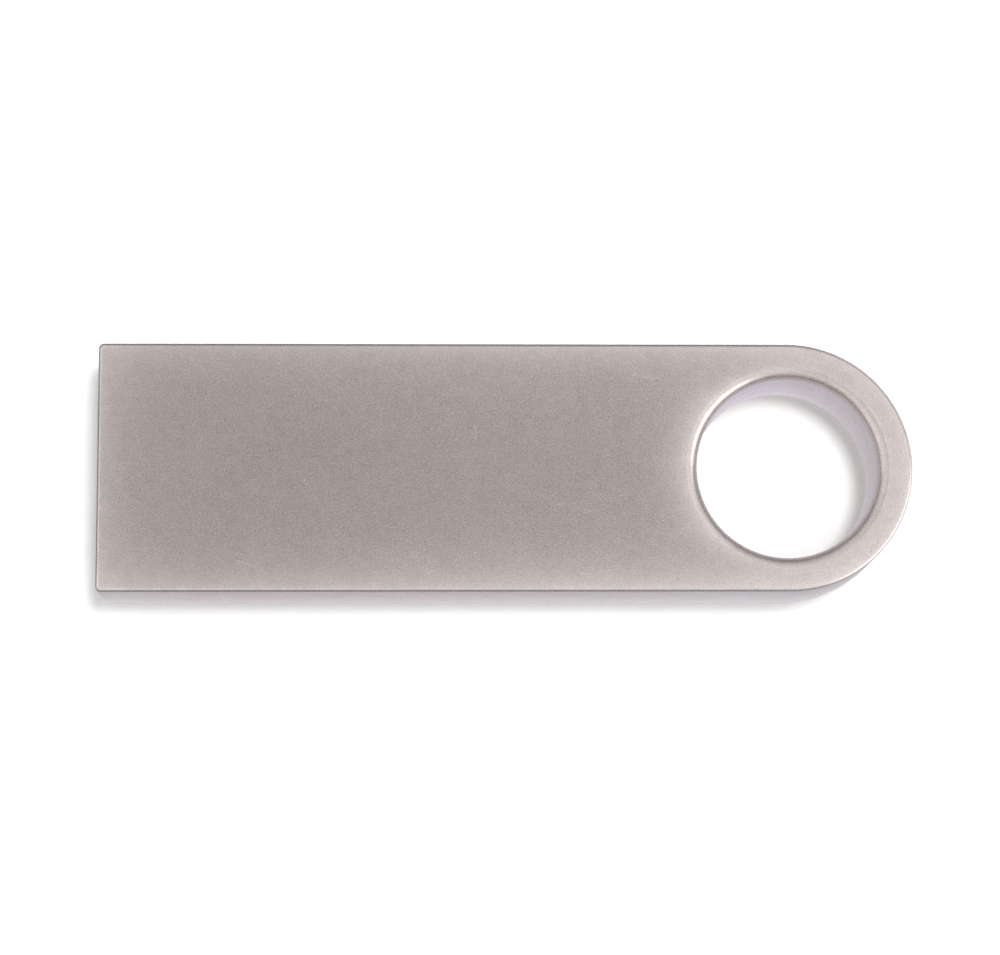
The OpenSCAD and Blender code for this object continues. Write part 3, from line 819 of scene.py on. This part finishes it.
# Glowing sheet that only reflections see, with painted light and shade in it: pale by the object and greyer away from
# it.
reflection_sheet = disc("floor_reflected", -0.00001, rings=(0.03, 0.06, 0.12, 0.25, 0.5, 1.0, 2.5))
for flag in ("visible_camera", "visible_diffuse", "visible_transmission", "visible_volume_scatter", "visible_shadow"):
    setattr(reflection_sheet, flag, False)
m = Nodes("floor_reflected_paper")
dx = m.math("SUBTRACT", m.axis(0), X_EYE)
reach = m.math("SQRT", m.math("ADD", m.math("MULTIPLY", dx, dx), m.math("MULTIPLY", m.axis(1), m.axis(1))))
ahead = m.math("GREATER_THAN", dx, 0.0)
out_x = m.math("MAXIMUM", m.math("SUBTRACT", X_MOUTH, m.axis(0)), 0.0)
out_y = m.math("MAXIMUM", m.math("SUBTRACT", m.math("ABSOLUTE", m.axis(1)), HALF), 0.0)
away = m.math("SQRT", m.math("ADD", m.math("MULTIPLY", out_x, out_x), m.math("MULTIPLY", out_y, out_y)))
away = m.math("ADD", m.math("MULTIPLY", away, m.math("SUBTRACT", 1.0, ahead)), m.math("MULTIPLY", m.math("MAXIMUM", m.math("SUBTRACT", reach, HALF), 0.0), ahead))
near = m.math("EXPONENT", m.math("MULTIPLY", away, -1 / 1.8))
emit = m.tree.nodes.new("ShaderNodeEmission")
# painted light: far from the object the sheet is paler to the right
far = m.mix(m.span(dx, HALF, HALF + 5, 0.0, 1.0), (0.22, 0.22, 0.23), (0.78, 0.77, 0.78))
outside = m.mix(near, far, (0.83, 0.83, 0.83))
# painted light and shade inside the eye: pale by the foot of its wall, darker towards its middle and darker to the
# right
painted_foot_light = m.math("EXPONENT", m.math("MULTIPLY", m.math("SUBTRACT", EYE_R, reach), -1 / 1.6))
in_eye = m.mix(m.span(dx, 0.0, EYE_R, 0.0, 1.0), (1.00, 1.00, 1.08), (0.76, 0.76, 0.78))
in_eye = m.mix(painted_foot_light, (0.44, 0.44, 0.45), in_eye)
m.link(m.mix(m.math("LESS_THAN", reach, EYE_R + 0.2), outside, in_eye), emit.inputs["Color"])
m.tree.nodes.remove(m.shader)
m.link(emit.outputs[0], m.out.inputs["Surface"])
reflection_sheet.data.materials.append(m.mat)

# Pale backdrop all round, which only the camera sees. It is near enough not to be clipped in the low views.
sweep = [(0.8 + 0.3 * math.sin(a), 0.3 * (1 - math.cos(a))) for a in (0.2, 0.5, 0.8, 1.1, 1.35, PI / 2)] + [(1.1, 0.7), (1.0, 1.1), (0.65, 1.4), (0.12, 1.5)]
backdrop = disc("backdrop", -0.00003, rings=(0.78,), rise=sweep)
for flag in ("visible_diffuse", "visible_glossy", "visible_transmission", "visible_volume_scatter", "visible_shadow"):
    setattr(backdrop, flag, False)
m = Nodes("backdrop_paper")
emit = m.tree.nodes.new("ShaderNodeEmission")
m.link(m.mix(m.span(m.noise(300.0, 2.0, 0.5), 0.3, 0.7, 0.0, 1.0), (0.97, 0.97, 0.975), (1.0, 1.0, 1.0)), emit.inputs["Color"])
m.tree.nodes.remove(m.shader)
m.link(emit.outputs[0], m.out.inputs["Surface"])
backdrop.data.materials.append(m.mat)


# ---------------------------------------------------------------- light

world = bpy.data.worlds.new("studio")
bpy.context.scene.world = world
world.use_nodes = True
wt = world.node_tree
wt.nodes.clear()
w_out = wt.nodes.new("ShaderNodeOutputWorld")
w_bg = wt.nodes.new("ShaderNodeBackground")
w_co = wt.nodes.new("ShaderNodeTexCoord")
w_xyz = wt.nodes.new("ShaderNodeSeparateXYZ")
w_ramp = wt.nodes.new("ShaderNodeValToRGB")
w_ramp.color_ramp.interpolation = "EASE"
stops = [(0.0, 0.26), (0.13, 0.32), (0.36, 0.58), (0.62, 0.74), (0.88, 0.78), (0.975, 0.65), (1.0, 0.63)]
el = w_ramp.color_ramp.elements
while len(el) < len(stops):
    el.new(0.5)
for e, (pos, v) in zip(el, stops):
    e.position = pos
    e.color = (v, v, v * 1.01, 1)
wt.links.new(w_co.outputs["Generated"], w_xyz.inputs[0])
wt.links.new(w_xyz.outputs["Z"], w_ramp.inputs[0])
w_side = wt.nodes.new("ShaderNodeMapRange")
w_side.inputs["From Min"].default_value, w_side.inputs["From Max"].default_value = -0.15, 0.20
w_side.inputs["To Min"].default_value, w_side.inputs["To Max"].default_value = -0.24, 0.50
wt.links.new(w_xyz.outputs["X"], w_side.inputs["Value"])
w_high = wt.nodes.new("ShaderNodeMapRange")
w_high.inputs["From Min"].default_value, w_high.inputs["From Max"].default_value = 0.86, 0.96
wt.links.new(w_xyz.outputs["Z"], w_high.inputs["Value"])
w_over = wt.nodes.new("ShaderNodeMath")
w_over.operation = "MULTIPLY_ADD"
w_over.inputs[2].default_value = 1.0
wt.links.new(w_side.outputs["Result"], w_over.inputs[0])
wt.links.new(w_high.outputs["Result"], w_over.inputs[1])
w_back = wt.nodes.new("ShaderNodeMapRange")
w_back.inputs["From Min"].default_value, w_back.inputs["From Max"].default_value = 0.30, 0.95
w_back.inputs["To Min"].default_value, w_back.inputs["To Max"].default_value = 1.0, 0.72
wt.links.new(w_xyz.outputs["Y"], w_back.inputs["Value"])
w_lean = wt.nodes.new("ShaderNodeMath")
w_lean.operation = "MULTIPLY"
wt.links.new(w_over.outputs[0], w_lean.inputs[0])
wt.links.new(w_back.outputs["Result"], w_lean.inputs[1])
w_tint = wt.nodes.new("ShaderNodeVectorMath")
w_tint.operation = "SCALE"
wt.links.new(w_ramp.outputs["Color"], w_tint.inputs[0])
wt.links.new(w_lean.outputs[0], w_tint.inputs["Scale"])
wt.links.new(w_tint.outputs[0], w_bg.inputs["Color"])
wt.links.new(w_bg.outputs[0], w_out.inputs["Surface"])
w_bg.inputs["Strength"].default_value = 1.0


def aim(obj, place, target=(0, 0, 0)):
    obj.location = place
    obj.rotation_mode = "QUATERNION"
    obj.rotation_quaternion = (Vector(place) - Vector(target)).to_track_quat("Z", "Y")


def softbox(name, place, w, h, radiance, glossy=True, diffuse=True, colour=(1, 1, 1)):
    data = bpy.data.lights.new(name, "AREA")
    data.shape = "RECTANGLE"
    data.size, data.size_y = w, h
    data.energy = radiance * PI * w * h
    data.color = colour
    obj = bpy.data.objects.new(name, data)
    bpy.context.scene.collection.objects.link(obj)
    aim(obj, place)
    obj.visible_camera = False
    obj.visible_glossy = glossy
    obj.visible_diffuse = diffuse
    return obj


key = bpy.data.lights.new("key", "SUN")
key.energy = 1.75
key.angle = math.radians(11)
key_obj = bpy.data.objects.new("key", key)
bpy.context.scene.collection.objects.link(key_obj)
aim(key_obj, (0.155, 0.09, 1.0))
key_obj.visible_glossy = False

# Wide light from straight above that thins the shadows.
fill = bpy.data.lights.new("fill", "SUN")
fill.energy = 0.5
fill.angle = math.radians(70)
fill_obj = bpy.data.objects.new("fill", fill)
bpy.context.scene.collection.objects.link(fill_obj)
aim(fill_obj, (0.0, 0.0, 1.0))
fill_obj.visible_glossy = False

# Softbox to the right and in front, seen only as a reflection along the eye's rim.
softbox("side_box", (0.35, -0.155, 0.15), 0.52, 0.30, 0.90, diffuse=False)
# Softbox to the left that looks into the mouth. It lights only the pieces inside the housing.
mouth_box = softbox("mouth_box", (-0.37, -0.07, 0.14), 0.36, 0.30, 1.30)
inside = bpy.data.collections.new("inside_the_housing")
for name, node in frame["nodes"].items():
    if name != "housing":
        inside.objects.link(node)
mouth_box.light_linking.receiver_collection = inside
# Faint softbox on the same side, seen only as a reflection along the eye's right rim.
softbox("rim_box", (-0.37, -0.07, 0.14), 0.36, 0.30, 0.30, diffuse=False)

bpy.context.scene.view_settings.view_transform = "Standard"
bpy.context.scene.view_settings.look = "None"
